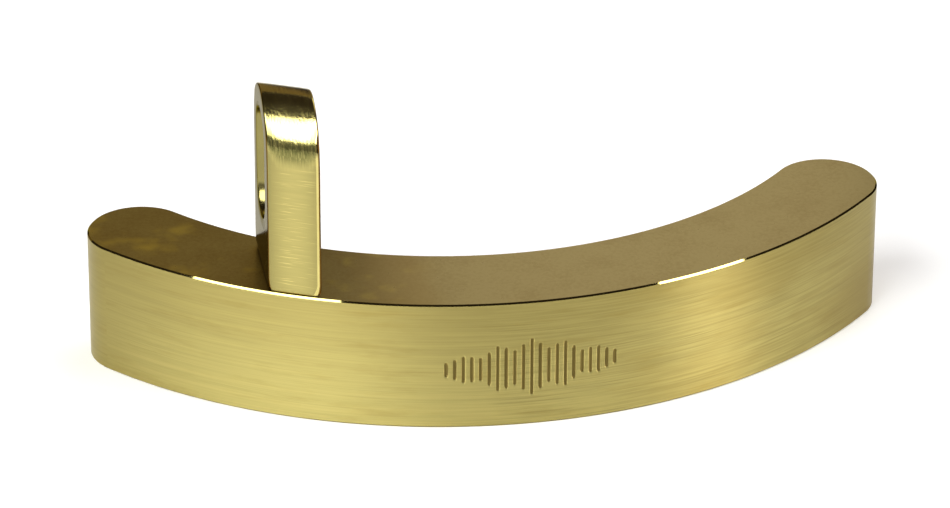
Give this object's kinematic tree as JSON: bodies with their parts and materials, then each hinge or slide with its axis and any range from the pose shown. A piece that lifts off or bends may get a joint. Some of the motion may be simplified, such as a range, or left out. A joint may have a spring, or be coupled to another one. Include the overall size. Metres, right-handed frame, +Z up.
{
  "type": "saxophone resonance bar",
  "caption": "Solid brass crescent with an upright slotted lug near one end, which a saxophone's own screw clamps to the instrument.",
  "frame": {"origin": "centre of the bounding box in plan, on the plane of the crescent's flat underside", "axes": "+Z up from the underside to the lug's round top; +X along the crescent from the lug's end to the plain end; the bulging side faces -Y and the hollow side +Y"},
  "size_m": [0.075, 0.0244, 0.031],
  "materials": {
    "bar_brass": "brushed along the arc on the walls, finely ground on the flats, polished edge break",
    "lug_brass": "brushed along the faces, polished round top",
    "screw_steel": "turned stainless steel, countersunk head with hexagon socket",
    "pin_steel": "ground steel dowel"
  },
  "bodies": {
    "root": {"sound_bar": "bar_brass", "mounting_lug": "lug_brass", "lug_screw": "screw_steel", "locating_pin": "pin_steel"}
  },
  "joints": []
}
